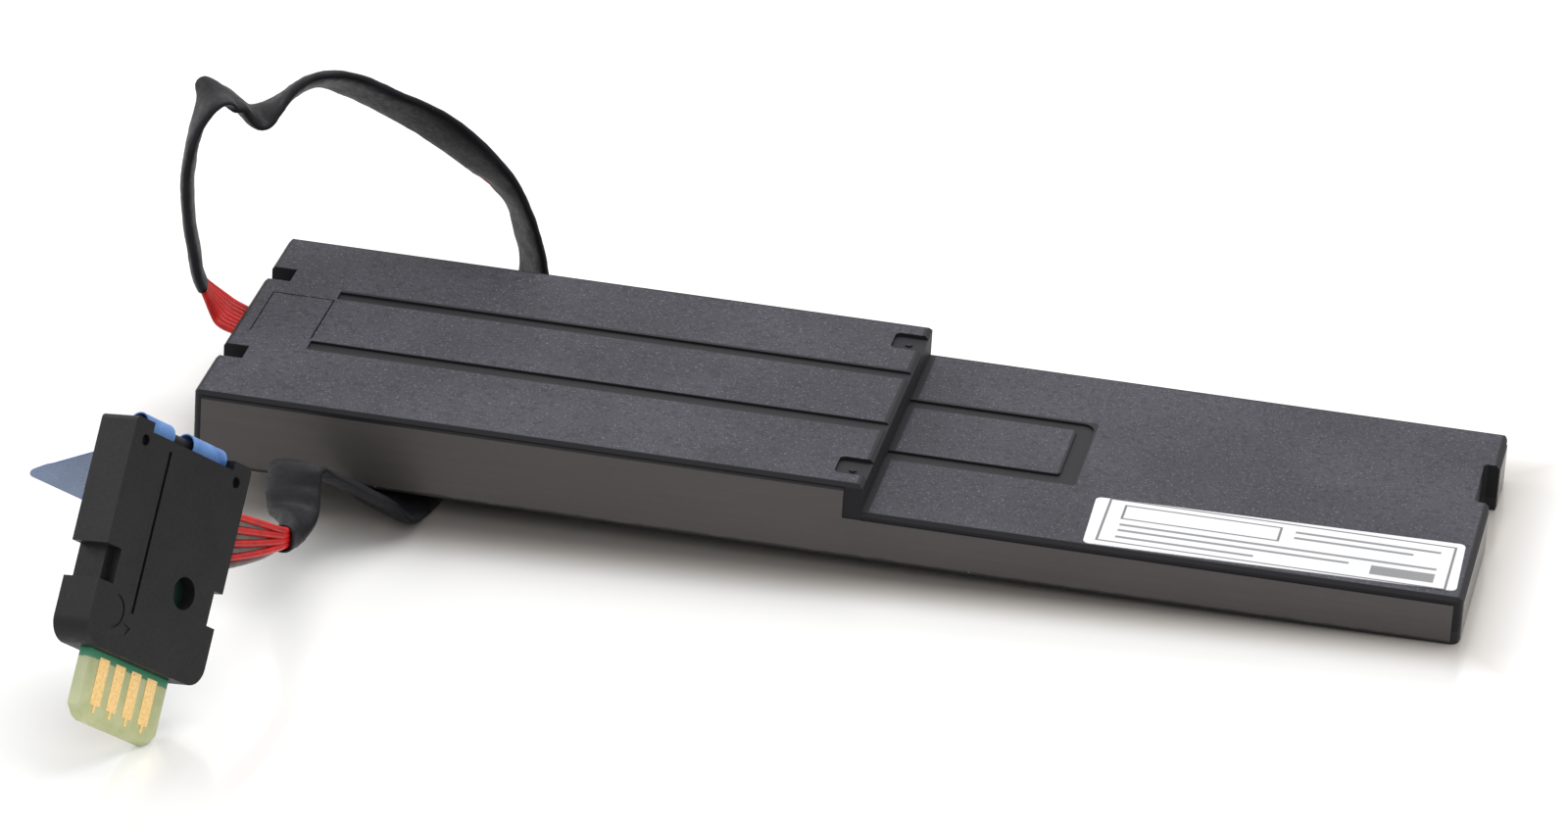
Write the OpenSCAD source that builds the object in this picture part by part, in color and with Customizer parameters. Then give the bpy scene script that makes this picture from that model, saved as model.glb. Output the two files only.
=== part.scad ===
// RAID battery module: two-height battery case, flat sleeved cable and card-edge plug

/* [Body] */
// overall length of the case
body_l = 153.3; // [130:0.1:185]
// overall width of the case
body_w = 46; // [40:0.1:56]
// length of the thick end, up to the step
thick_l = 81.5; // [70:0.1:98]
// height of the thick end
thick_h = 9.6; // [8:0.1:12]
// height of the thin end
thin_h = 6; // [5:0.1:7.2]
// skin thickness of both shells
skin = 1; // [0.8:0.05:1.3]
// corner radius seen from above
corner_r = 1; // [0.5:0.1:2]
// height of the parting line between the shells
part_z = 1.6; // [1.3:0.1:2.2]
// angle at which the case leans on its own cable
lean = 1.9; // [1.2:0.1:2.4]

/* [Top Grooves] */
// width of the smooth grooves
groove_w = 2; // [1:0.1:3]
// depth of the smooth grooves
groove_d = 0.3; // [0.15:0.05:0.45]
// where the front groove runs, measured from the front side
groove_front = 15.8; // [12:0.1:18]
// where the back groove ends, measured from the front side
groove_back = 32.4; // [29:0.1:35]
// how far the grooves reach over the thin end
groove_reach = 22.9; // [15:0.1:40]

/* [Openings] */
// width of the two notches in the left end
notch_w = 3.6; // [2:0.1:5]
// depth of the two notches in the left end
notch_d = 3.2; // [2:0.1:3.6]
// width of the notch in the right end
end_notch_w = 10.6; // [6:0.1:14]
// depth of the notch in the right end
end_notch_d = 1.85; // [1:0.05:2.2]
// length of the panel over the cable exit
panel_l = 7.8; // [6:0.1:10]
// width of the panel over the cable exit
panel_w = 11.5; // [10:0.1:14]

/* [Film And Label] */
// thickness of the side film
film_t = 0.12; // [0.08:0.01:0.2]
// length of the label
label_l = 44.2; // [30:0.1:50]
// width of the label
label_w = 12.4; // [8:0.1:16]

/* [Cells] */
// length of one pouch cell
cell_l = 33; // [26:0.1:36]
// width of one pouch cell
cell_w = 39.6; // [34:0.1:40]
// thickness of one pouch cell
cell_t = 5.6; // [4.6:0.1:6]

/* [Cable] */
// number of wires side by side
wires = 8; // [6:1:8]
// pitch of the wires
wire_pitch = 0.88; // [0.8:0.02:0.9]
// outer thickness of the sleeve
sleeve_t = 1.7; // [1.6:0.1:2.2]
// outer width of the sleeve
sleeve_w = 8.2; // [8:0.1:9]

/* [Plug] */
// width of the plug housing
plug_w = 21.4; // [18:0.1:26]
// length of the plug housing
plug_l = 26.3; // [24:0.1:32]
// thickness of the plug housing
plug_t = 5.2; // [4.6:0.1:6.6]
// width of the card-edge tongue
tongue_w = 14.2; // [11.5:0.1:16]
// length of the tongue outside the housing
tongue_l = 8.1; // [6.7:0.1:10]
// thickness of the plug board
card_t = 1.6; // [1.2:0.1:1.8]
// number of contact fingers on a side
fingers = 4; // [3:1:5]
// pitch of the contact fingers
finger_p = 2.9; // [2:0.1:3.3]
// width of a contact finger
finger_w = 1.75; // [1:0.05:1.9]
// length of a contact finger
finger_l = 5.4; // [4:0.1:6]
// reach of the pull tab behind the plug
tab_l = 15.5; // [10:0.1:20]

/* [Hidden] */
$fn = 32;
eps = 0.01;

mid_y = body_w / 2 + 1.2;              // line of the cable, a little behind the middle
ribbon_w = (wires - 1) * wire_pitch + 0.9;
ribbon_t = 0.9;
exit_z = thick_h - 2;                // middle of the ribbon where it leaves the end face
left_wall = 4.4;                       // solid end that holds the notches and the exit slot
right_wall = 3;                        // solid end behind the right notch
step_wall = 1.2;
fit = 0.1;
lip_t = 0.6;
end_x = body_l - film_t;               // the shells stop short of the end film
front_y = film_t;                      // and of the side film
groove_x = 9.9;
groove_end = thick_l + groove_reach;
label_len = min(label_l, body_l - groove_end - 3.6);
panel_x = 2;
panel_t = 0.55;
panel_d = 0.6;

// board in the thin end
board_l = body_l - thick_l - right_wall - 3;
board_w = min(40, body_w - 2 * skin - 3);
board_t = 1;
board_x = thick_l + 0.8;
board_y = body_w / 2 - board_w / 2;
board_z = skin + 0.5;
board_top = board_z + board_t;
joint_x = groove_end - 3.5;

// cells in the thick end
cell_wid = min(cell_w, body_w - 2 * skin - 1.4);
cell_y = body_w / 2 - cell_wid / 2;
cell_z = skin + 0.3;
cell_x1 = left_wall + 2.2;
cell_len = min(cell_l, (thick_l - cell_x1 - 4) / 2);
cell_x2 = cell_x1 + cell_len + 1;
sheet_t = 0.15;
cell_h = min(cell_t, exit_z - ribbon_t / 2 - sheet_t - 0.04 - cell_z);
cell_top = cell_z + cell_h;
drop_x = cell_x2 + cell_len + 1;         // here the inner ribbon turns down to the board

// the case leans about its lower right edge, the origin is under its middle
low_x = body_l - body_l * cos(lean);
high_x = body_l + thin_h * sin(lean);
mid = [(low_x + high_x) / 2, body_w / 2, 0];
function lean_pt(p) = [body_l + (p[0] - body_l) * cos(lean) + p[2] * sin(lean), p[1],
    -(p[0] - body_l) * sin(lean) + p[2] * cos(lean)] - mid;

// plug pose
plug_turn = [74, 36, 57.5];
function rot(p, r) = let (cx = cos(r[0]), sx = sin(r[0]), cy = cos(r[1]), sy = sin(r[1]),
        cz = cos(r[2]), sz = sin(r[2]),
        a = [p[0], p[1] * cx - p[2] * sx, p[1] * sx + p[2] * cx],
        b = [a[0] * cy + a[2] * sy, a[1], -a[0] * sy + a[2] * cy])
    [b[0] * cz - b[1] * sz, b[0] * sz + b[1] * cz, b[2]];
tongue_cut = 1.6;
tongue_bev = 0.45;
tongue_pts = [[tongue_w / 2, tongue_cut, card_t / 2], [tongue_w / 2, tongue_cut, -card_t / 2],
    [tongue_w / 2 - tongue_cut, 0, card_t / 2 - tongue_bev],
    [tongue_w / 2 - tongue_cut, 0, tongue_bev - card_t / 2],
    [tongue_w / 2 - tongue_cut, tongue_bev, card_t / 2],
    [tongue_w / 2 - tongue_cut, tongue_bev, -card_t / 2]];
tongue_low = min([for (p = tongue_pts) rot(p, plug_turn)[2]]);
plug_at = [8.4, -65.8, 0] - mid - [0, 0, tongue_low];
function plug_pt(p) = rot(p, plug_turn) + plug_at;
plug_y0 = tongue_l;                    // lower end of the housing
plug_y1 = tongue_l + plug_l;           // upper end of the housing
wire_y = plug_y1 - 8.2;                // where the ribbon enters the side
card_in = plug_w / 2 - 2.3;            // half width of the board inside the housing
bar_y = plug_y1 - 0.3;                 // bar that the pull tab is looped round
bar_d = 1.6;

// cable route in millimetres: place of the middle, direction of the flat side and, where the
// wires bunch up, how much of the width is left. It is laid for a case of the width below, and
// on a wider or narrower case the stretch behind it moves with its back.
route_w = 46;
function follow(p) = [p[0], p[1] + (body_w - route_w) * max(0, min(1, p[1] / route_w)), p[2]];
route = [
    [[-2.7, 25, 13.8], [0, 1, 0]],
    [[-5.3, 24.6, 17.4], [-0.2, 0.9, -0.35]],
    [[-6.2, 24.6, 21.7], [-0.2, 0.9, -0.4]],
    [[-7, 25.1, 26.5], [-0.2, 0.9, -0.4]],
    [[-7.2, 26, 31.5], [-0.2, 0.9, -0.4]],
    [[-6.6, 27.5, 36.4], [-0.3, 0.9, -0.3]],
    [[-5, 29.5, 40], [-0.35, 0.85, 0.1]],
    [[-3.4, 31.5, 39.1], [-0.5, 0.8, -0.1]],
    [[-1.4, 33.4, 36.4], [-0.5, 0.85, 0]],
    [[0.6, 35.5, 36.6], [-0.5, 0.8, -0.3]],
    [[2.5, 37.4, 37.9], [-0.4, 0.7, -0.5]],
    [[4.2, 39, 38.8], [-0.4, 0.7, -0.5]],
    [[6.3, 40.5, 39], [-0.5, 0.7, -0.5]],
    [[8.6, 42, 38.1], [-0.6, 0.6, -0.5]],
    [[12, 44.5, 35.6], [-0.7, 0.6, -0.5]],
    [[18.6, 48, 30.8], [-0.7, 0.5, -0.5]],
    [[24.8, 51, 24.2], [-0.7, 0.6, -0.3]],
    [[27.9, 52.5, 19.2], [-0.6, 0.8, -0.1]],
    [[29.2, 53.2, 14.4], [-0.6, 0.8, -0.1]],
    [[29.9, 53.5, 10.4], [-0.6, 0.8, -0.1]],
    [[30.2, 53.6, 6.8], [-0.8, 0.6, 0]],
    [[30.1, 52.4, 3.8], [-1, 0.1, 0.2]],
    [[29.7, 49.4, 2.2], [-0.93, 0, 0.37]],
    [[29, 40, 2.1], [-0.92, 0, 0.385]],
    [[27.8, 26, 2.1], [-0.92, 0, 0.385]],
    [[26.4, 12, 2.1], [-0.92, 0, 0.385]],
    [[25.1, 3, 2.1], [-0.92, 0.1, 0.37]],
    [[24.4, -1.2, 2.8], [-0.94, 0.2, 0.3]],
    [[22.8, -3.4, 5.2], [-0.9, 0.4, 0.1]],
    [[19.4, -6.2, 8.2], [-0.8, 0.6, -0.1]],
    [[16.9, -9.6, 10.8], [-0.8, 0.6, -0.2]],
    [[16.4, -12.6, 11.9], [-0.9, 0.3, -0.1], 0.88],
    [[16.6, -15, 10.4], [-1, 0.1, 0], 0.82],
    [[17.4, -17.6, 9], [-1, 0.1, 0.1], 0.74],
    [[18.4, -21.4, 9.4], [-0.8, 0.1, 0.5], 0.54],
    [[19.2, -25.6, 10.5], [-0.5, 0.2, 0.8], 0.44],
    [[19.3, -30, 11.8], [0, 0.5, 0.8], 0.42],
    [[17.9, -35, 13.8], [0, 0.6, 0.8], 0.72]];
sleeve_from = 1;                       // route points between which the sleeve reaches
sleeve_to = 36;
exit_pt = lean_pt([0, mid_y, exit_z]);
plug_in = plug_pt([plug_w / 2 - 0.9, wire_y, 0]);
plug_out = plug_pt([plug_w / 2 + 1.2, wire_y, 0]);
plug_dir = -1 * rot([0, -1, 0], plug_turn);
stops = concat([[exit_pt, [0, 1, 0], 1]],
    [for (r = route) [follow(r[0]) - mid, r[1], len(r) > 2 ? r[2] : 1]],
    [[plug_out, plug_dir, 1], [plug_in, plug_dir, 1]]);
function unit(v) = v / norm(v);
function stop(i) = stops[max(0, min(len(stops) - 1, i))];
function spline(a, b, c, d, t) = 0.5 * (2 * b + (c - a) * t + (2 * a - 5 * b + 4 * c - d) * t * t
    + (3 * b - a - 3 * c + d) * t * t * t);
function at(u, k) = let (i = floor(u), t = u - i)
    t == 0 ? stop(i)[k] : spline(stop(i - 1)[k], stop(i)[k], stop(i + 1)[k], stop(i + 2)[k], t);
function heading(u) = u < 0.3 ? unit(lean_pt([-1, 0, 0]) - lean_pt([0, 0, 0]))
    : u > len(stops) - 1.3 ? unit(plug_in - plug_out) : unit(at(u + 0.2, 0) - at(u - 0.2, 0));
// flat oval of twelve points around one place on the route
function oval(u, full_w, full_t) = let (f = heading(u), a = at(u, 1), s = unit(a - (a * f) * f),
        n = cross(f, s), k = at(u, 2), w = full_w * k, t = full_t * (2 - k), c = (w - t) / 2)
    [for (side = [1, -1], g = [-90 : 36 : 90])
        at(u, 0) + s * side * (c + t / 2 * cos(g)) + n * side * t / 2 * sin(g)];
steps_u = [for (i = [0 : len(stops) - 2], h = [0, 0.5]) i + h];
all_u = concat(steps_u, [len(stops) - 1]);
sleeve_u = [for (u = all_u) if (u >= sleeve_from + 1 && u <= sleeve_to + 1) u];
sides = 12;

module case_side() translate(-mid) translate([body_l, 0, 0]) rotate([0, lean, 0])
    translate([-body_l, 0, 0]) children();
module plug_side() translate(plug_at) rotate(plug_turn) children();

module box(a, b) translate(a) cube(b - a);
module plate2d(l, w, r) union() {
    translate([r, 0]) square([l - 2 * r, w]);
    translate([0, r]) square([l, w - 2 * r]);
    for (x = [r, l - r], y = [r, w - r]) translate([x, y]) circle(r);
}
module plate(a, b, r) translate(a) linear_extrude(b[2] - a[2]) plate2d(b[0] - a[0], b[1] - a[1], r);

module end_notch() {
    y0 = 26.3 / 46 * body_w;
    translate([end_x - end_notch_d, y0, -1]) linear_extrude(thick_h + 2) union() {
        translate([0.6, 0]) square([end_notch_d + 2, end_notch_w]);
        translate([0, 0.6]) square([2, end_notch_w - 1.2]);
        for (y = [0.6, end_notch_w - 0.6]) translate([0.6, y]) circle(0.6);
    }
}
module left_notches() for (y = [10.5 / 46, 33.4 / 46]) {
    y0 = y * body_w;
    box([-1, y0, 3.6], [notch_d, y0 + notch_w, thick_h + 1]);
}
module long_bevel(y, z, l, x = -1) translate([x, y, z]) rotate([45, 0, 0])
    translate([0, -0.3, -0.3]) cube([l, 0.6, 0.6]);
module cross_bevel(x, z) translate([x, -1, z]) rotate([0, 45, 0])
    translate([-0.3, 0, -0.3]) cube([0.6, body_w + 2, 0.6]);

module bottom_case() color([0.17, 0.17, 0.18]) case_side() difference() {
    union() {
        difference() {
            plate([0, front_y, 0], [end_x, body_w, part_z], corner_r);
            box([left_wall, front_y + skin, skin], [end_x - right_wall, body_w - skin, part_z + 1]);
        }
        // locating lip just inside the cover
        difference() {
            box([left_wall + fit, front_y + skin + fit, skin - eps],
                [end_x - right_wall - fit, body_w - skin - fit, part_z + 1.2]);
            box([left_wall + fit + lip_t, front_y + skin + fit + lip_t, 0],
                [end_x - right_wall - fit - lip_t, body_w - skin - fit - lip_t, part_z + 2]);
            box([drop_x - 2, 0, skin + 0.5], [board_x + 3, body_w, part_z + 2]);
        }
        // posts under the board
        for (x = [board_x + 4, board_x + board_l - 4], y = [board_y + 4, board_y + board_w - 4])
            translate([x, y, skin - eps]) cylinder(d = 3.6, h = board_z - skin + eps);
        // locating pins through the board
        for (x = [board_x + 4, board_x + board_l - 4], y = [board_y + 4, board_y + board_w - 4])
            translate([x, y, skin]) cylinder(d = 1.6, h = board_top - skin + 0.6);
    }
    end_notch();
}

module top_cover() color([0.2, 0.2, 0.22]) case_side() difference() {
    union() {
        plate([0, front_y, part_z], [end_x, body_w, thin_h], corner_r);
        plate([0, front_y, part_z], [thick_l, body_w, thick_h], corner_r);
        box([thick_l - 2 * corner_r, front_y, part_z], [thick_l, body_w, thick_h]);
        // small gate marks in the recesses beside the step
        for (y = [4.6 / 46, 40.7 / 46]) translate([thick_l - 2, y * body_w, thick_h - 0.5])
            cylinder(d = 0.9, h = 0.2);
    }
    // room inside the thick end and the thin end
    box([left_wall, front_y + skin, 0], [thick_l - step_wall, body_w - skin, thick_h - skin]);
    box([left_wall, front_y + skin, 0], [end_x - right_wall, body_w - skin, thin_h - skin]);
    // notches
    end_notch();
    left_notches();
    // exit slot for the ribbon
    box([-1, mid_y - ribbon_w / 2 - 0.2, exit_z - 0.6], [left_wall + 1, mid_y + ribbon_w / 2 + 0.2, exit_z + 0.6]);
    // seat of the exit panel
    box([panel_x, mid_y - panel_w / 2, thick_h - panel_d],
        [panel_x + panel_l, mid_y + panel_w / 2, thick_h + 1]);
    // grooves on the thick end
    for (y = [groove_front, groove_back - groove_w])
        box([groove_x, y, thick_h - groove_d], [thick_l + 1, y + groove_w, thick_h + 1]);
    // groove around the strip on the thin end
    difference() {
        plate([thick_l - 8, groove_front, thin_h - groove_d],
            [groove_end, groove_back, thin_h + 0.4], 1.6);
        plate([thick_l - 9, groove_front + groove_w, thin_h - groove_d - 1],
            [groove_end - groove_w, groove_back - groove_w, thin_h + 1], 0.6);
        box([0, 0, 0], [thick_l, body_w, thick_h]);
    }
    // recesses beside the step
    for (y = [2.8, body_w - 7.4]) difference() {
        plate([thick_l - 4, y, thick_h - 0.5], [thick_l + 2, y + 4.5, thick_h + 1], 0.8);
        translate([thick_l - 2, y + 1.85 + (y > 10 ? 0.3 : 0), thick_h - 1]) cylinder(d = 0.9, h = 0.7);
    }
    // bevelled outer edges
    long_bevel(front_y, thick_h, thick_l + 1);
    long_bevel(body_w, thick_h, thick_l + 1);
    long_bevel(front_y, thin_h, body_l, thick_l);
    long_bevel(body_w, thin_h, body_l, thick_l);
    cross_bevel(0, thick_h);
    cross_bevel(thick_l, thick_h);
    cross_bevel(end_x, thin_h);
}

module exit_panel() color([0.2, 0.2, 0.22]) case_side()
    box([panel_x + 0.12, mid_y - panel_w / 2 + 0.12, thick_h - panel_d],
        [panel_x + panel_l - 0.2, mid_y + panel_w / 2 - 0.12, thick_h - panel_d + panel_t]);

module side_film() color([0.31, 0.3, 0.29]) case_side()
    translate([0, film_t, 0]) rotate([90, 0, 0]) linear_extrude(film_t)
        polygon([[corner_r, 0.25], [body_l - 1.1, 0.25], [body_l - 1.1, thin_h - 0.9],
            [thick_l - 2.2, thin_h - 0.9], [thick_l - 2.2, thick_h - 0.6], [corner_r, thick_h - 0.6]]);

module end_film() color([0.31, 0.3, 0.29]) case_side() {
    y0 = 26.3 / 46 * body_w;
    for (r = [[corner_r + 0.2, y0 - 0.5], [y0 + end_notch_w + 0.5, body_w - corner_r - 0.2]])
        box([end_x, r[0], 0.25], [body_l, r[1], thin_h - 0.9]);
}

module rating_label() color([0.95, 0.95, 0.95]) case_side()
    translate([body_l - 1.1 - label_len, 0.7, thin_h]) rotate([0, 0, 1.6])
        linear_extrude(0.1) plate2d(label_len, label_w, 0.8);

module pouch(x) case_side() {
    difference() {
        plate([x, cell_y, cell_z], [x + cell_len - 3, cell_y + cell_wid, cell_top], 1.5);
    }
    box([x + cell_len - 3 - eps, cell_y + 1.5, cell_z + cell_h / 2 - 0.15],
        [x + cell_len, cell_y + cell_wid - 1.5, cell_z + cell_h / 2 + 0.15]);
}
module cell_left() color([0.75, 0.76, 0.78]) pouch(cell_x1);
module cell_right() color([0.75, 0.76, 0.78]) pouch(cell_x2);

module cell_tape() color([0.85, 0.84, 0.8]) case_side()
    for (x = [cell_x1, cell_x2], y = [5, cell_wid - 13])
        box([x + 3, cell_y + y, skin], [x + cell_len - 6, cell_y + y + 8, cell_z]);

module cell_links() color([0.8, 0.78, 0.72]) case_side() {
    z = cell_z + cell_h / 2 + 0.15;
    // tab pairs that lie on the sealed edges
    for (x = [cell_x1, cell_x2], y = [6, cell_wid - 11])
        box([x + cell_len - 2.6, cell_y + y, z], [x + cell_len - 0.4, cell_y + y + 5, z + 0.2]);
    // link along the seal of the left cell, joining its near tab to the long strip
    box([cell_x1 + cell_len - 1.6, front_y + skin + 1.05, z + 0.2],
        [cell_x1 + cell_len - 0.4, cell_y + 11, z + 0.4]);
    box([cell_x1 + cell_len - 1.6, front_y + skin + 1.05, z + 0.2],
        [board_x + 4, front_y + skin + 1.65, z + 0.4]);
    // straps from the right cell down to the board
    for (y = [6, cell_wid - 11]) {
        box([cell_x2 + cell_len - 1.2, cell_y + y + 1, z + 0.2],
            [cell_x2 + cell_len + 1.4, cell_y + y + 4, z + 0.4]);
        box([cell_x2 + cell_len + 1.2, cell_y + y + 1, board_top],
            [cell_x2 + cell_len + 1.4, cell_y + y + 4, z + 0.4]);
        box([cell_x2 + cell_len + 1.2, cell_y + y + 1, board_top],
            [board_x + 3, cell_y + y + 4, board_top + 0.2]);
    }
}

module insulator_sheet() color([0.9, 0.86, 0.7]) case_side()
    plate([cell_x1, cell_y + 1, cell_top], [cell_x2 + cell_len - 3, cell_y + cell_wid - 1, cell_top + sheet_t], 1);

module board() color([0.05, 0.35, 0.2]) case_side() difference() {
    plate([board_x, board_y, board_z], [board_x + board_l, board_y + board_w, board_top], 1);
    for (x = [board_x + 4, board_x + board_l - 4], y = [board_y + 4, board_y + board_w - 4])
        translate([x, y, 0]) cylinder(d = 1.8, h = 5);
}
module on_board(x, y, s) {
    p = [board_x + x * board_l / 66, board_y + y * board_w / 40, board_top];
    box(p, p + s);
}
module board_chips() color([0.1, 0.1, 0.11]) case_side() {
    on_board(30, 8, [7, 7, 0.9]);
    on_board(42, 22, [5, 6.4, 1]);
    on_board(30, 27, [5, 4, 1]);
}
module board_mosfets() color([0.12, 0.12, 0.13]) case_side()
    for (i = [0 : 2]) on_board(10 + i * 7, 31, [5, 6, 1.1]);
module board_passives() color([0.6, 0.5, 0.35]) case_side() {
    for (i = [0 : 6]) on_board(40 + i * 2.6, 9 + (i % 2) * 3, [1.6, 0.8, 0.6]);
    for (i = [0 : 4]) on_board(50 + i * 2.4, 24 + (i % 2) * 4, [1.2, 2, 0.9]);
    on_board(21, 9, [3.2, 6.4, 0.7]);
}
module board_fuse() color([0.85, 0.83, 0.78]) case_side() on_board(10, 5, [6.1, 2.6, 1.4]);
module thermistor() color([0.15, 0.12, 0.1]) case_side() {
    z = cell_z + cell_h / 2 + min(1.2, cell_h / 2 - 0.95);
    translate([cell_x1 + cell_len - 1.5, mid_y + 4, z]) sphere(d = 1.8);
}

module ribbon_profile(x0, x1) {
    a = exit_z + ribbon_t / 2;
    b = board_top + 1.2;
    translate([0, mid_y + ribbon_w / 2, 0]) rotate([90, 0, 0]) linear_extrude(ribbon_w)
        polygon([[x0, a], [drop_x, a], [thick_l - step_wall - 0.4, b + 0.5], [thick_l + 1, b],
            [joint_x - 2, b], [joint_x, board_top + 1], [x1, board_top + 1], [x1, board_top + 0.1],
            [joint_x - 0.3, board_top + 0.1], [joint_x - 2.3, b - ribbon_t], [thick_l + 1, b - ribbon_t],
            [thick_l - step_wall - 0.8, b - 0.4], [drop_x - 0.4, a - ribbon_t], [x0, a - ribbon_t]]);
}
module inner_ribbon() color([0.6, 0.15, 0.12]) case_side() ribbon_profile(0, joint_x + 2);
module ribbon_joints() color([0.75, 0.75, 0.77]) case_side() for (i = [0 : wires - 1])
    translate([joint_x + 2, mid_y + (i - (wires - 1) / 2) * wire_pitch, board_top])
        box([0, -0.3, 0], [1.6, 0.3, 0.8]);
module ribbon_clamp() color([0.88, 0.86, 0.8]) case_side() difference() {
    box([left_wall, mid_y - panel_w / 2 + 1, exit_z - 1.1], [left_wall + 2, mid_y + panel_w / 2 - 1, thick_h - skin]);
    box([0, mid_y - ribbon_w / 2 - 0.05, exit_z - 0.5], [9, mid_y + ribbon_w / 2 + 0.05, exit_z + 0.5]);
}

module strip(us, w, t) {
    n = len(us);
    polyhedron([for (u = us) each oval(u, w, t)],
        concat([[for (k = [0 : sides - 1]) k]],
            [for (i = [0 : n - 2], k = [0 : sides - 1]) let (m = (k + 1) % sides)
                each [[i * sides + k, (i + 1) * sides + k, (i + 1) * sides + m],
                    [i * sides + k, (i + 1) * sides + m, i * sides + m]]],
            [[for (k = [sides - 1 : -1 : 0]) (n - 1) * sides + k]]));
}
module tube(us, w, t, wi, ti) {
    n = len(us);
    o = n * sides;
    polyhedron(concat([for (u = us) each oval(u, w, t)], [for (u = us) each oval(u, wi, ti)]),
        concat([for (i = [0 : n - 2], k = [0 : sides - 1]) let (m = (k + 1) % sides)
                each [[i * sides + k, (i + 1) * sides + k, (i + 1) * sides + m],
                    [i * sides + k, (i + 1) * sides + m, i * sides + m]]],
            [for (i = [0 : n - 2], k = [0 : sides - 1]) let (m = (k + 1) % sides)
                each [[o + i * sides + k, o + (i + 1) * sides + m, o + (i + 1) * sides + k],
                    [o + i * sides + k, o + i * sides + m, o + (i + 1) * sides + m]]],
            [for (k = [0 : sides - 1]) let (m = (k + 1) % sides)
                each [[k, m, o + m], [k, o + m, o + k]]],
            [for (k = [0 : sides - 1]) let (m = (k + 1) % sides, e = (n - 1) * sides)
                each [[e + k, o + e + k, o + e + m], [e + k, o + e + m, e + m]]]));
}
module ribbon_cable() color([0.65, 0.16, 0.13]) strip(all_u, ribbon_w, ribbon_t);
module cable_sleeve() color([0.16, 0.16, 0.17])
    tube(sleeve_u, sleeve_w, sleeve_t, ribbon_w + 0.2, ribbon_t + 0.2);

module plug_outline() difference() {
    union() {
        translate([-plug_w / 2, plug_y0]) plate2d(plug_w, plug_l - 4, 2.6);
        translate([-plug_w / 2, plug_y0 + 8]) plate2d(plug_w, plug_l - 8, 0.6);
    }
    // side steps
    for (s = [-1, 1]) translate([s * (plug_w / 2 + 1), plug_y0 + 9.3]) square([5, 4.1], center = true);
    // recess for the pull tab between the ears
    translate([-plug_w / 2 + 3.2, plug_y1 - 1.1]) square([plug_w - 6.4, 4]);
}
module card_room(z0, z1) box([-card_in - 0.1, plug_y0 + 1, z0], [card_in + 0.1, plug_y1 - 4.4, z1]);
module wire_room() {
    box([card_in - 4, wire_y - ribbon_w / 2 - 0.6, -card_t / 2 - 0.9],
        [card_in + 0.5, wire_y + ribbon_w / 2 + 0.6, card_t / 2 + 0.9]);
    box([card_in, wire_y - ribbon_w / 2 - 0.15, -ribbon_t / 2 - 0.1],
        [plug_w, wire_y + ribbon_w / 2 + 0.15, ribbon_t / 2 + 0.1]);
}
module tab_room() box([-plug_w / 2 + 3.2, plug_y1 - 3.9, -plug_t],
    [plug_w / 2 - 3.2, plug_y1 + 1, plug_t / 2 - 1]);
module plug_front() color([0.15, 0.15, 0.16]) plug_side() difference() {
    linear_extrude(plug_t / 2) plug_outline();
    card_room(-1, card_t / 2 + 0.05);
    box([-tongue_w / 2 - 0.1, 0, -1], [tongue_w / 2 + 0.1, plug_y0 + 2, card_t / 2 + 0.05]);
    wire_room();
    tab_room();
    translate([4.1, plug_y0 + 9.6, 0]) cylinder(d = 3.8, h = 9);
    for (s = [-1, 1]) translate([s * (plug_w / 2 - 2.25), plug_y1 - 2.3, plug_t / 2 - 0.6]) cylinder(d = 1.3, h = 2);
    box([-4, plug_y0 + 5, plug_t / 2 - 0.35], [-3.55, plug_y1 - 2.3, plug_t]);
    box([-plug_w / 2, plug_y0 + 7.25, plug_t / 2 - 1.2], [-plug_w / 2 + 2.6, plug_y0 + 11.35, plug_t]);
    // moulded arc and arrow
    translate([-7.1, plug_y0 + 4.5, plug_t / 2 - 0.12]) difference() {
        cylinder(d = 4, h = 1);
        translate([0, 0, -1]) cylinder(d = 3.4, h = 3);
        box([-3, -3, -1], [0.2, 3, 3]);
    }
    translate([-4.1, plug_y0 + 3.2, plug_t / 2 - 0.12]) linear_extrude(1)
        polygon([[-0.9, 0.5], [0.6, 0.1], [-0.2, -1], [0, 0], [-0.9, 0.5]]);
}
module plug_back() color([0.15, 0.15, 0.16]) plug_side() {
    difference() {
        translate([0, 0, -plug_t / 2]) linear_extrude(plug_t / 2) plug_outline();
        card_room(-card_t / 2 - 0.05, 1);
        box([-tongue_w / 2 - 0.1, 0, -card_t / 2 - 0.05], [tongue_w / 2 + 0.1, plug_y0 + 2, 1]);
        wire_room();
        tab_room();
    }
    // bar between the ears for the pull tab, held by the back half
    translate([-plug_w / 2 + 3.2, bar_y, 0]) rotate([0, 90, 0]) cylinder(d = bar_d, h = plug_w - 6.4);
    for (s = [-1, 1]) translate([s * (plug_w / 2 - 3.2), bar_y, -bar_d / 4])
        cube([2 * eps, bar_d * 0.8, bar_d / 2], center = true);
}
module plug_board() color([0.62, 0.68, 0.45]) plug_side() difference() {
    translate([0, 0, -card_t / 2]) linear_extrude(card_t) union() {
        polygon([[-tongue_w / 2 + tongue_cut, 0], [tongue_w / 2 - tongue_cut, 0],
            [tongue_w / 2, tongue_cut], [tongue_w / 2, plug_y0 + 1.4],
            [-tongue_w / 2, plug_y0 + 1.4], [-tongue_w / 2, tongue_cut]]);
        translate([-card_in, plug_y0 + 1.2]) square([2 * card_in, plug_l - 5.8]);
    }
    // bevelled leading edge
    for (s = [-1, 1]) translate([-tongue_w, 0, s * card_t / 2]) rotate([45, 0, 0])
        translate([0, -tongue_bev / sqrt(2), -tongue_bev / sqrt(2)])
            cube([2 * tongue_w, tongue_bev * sqrt(2), tongue_bev * sqrt(2)]);
}
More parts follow.
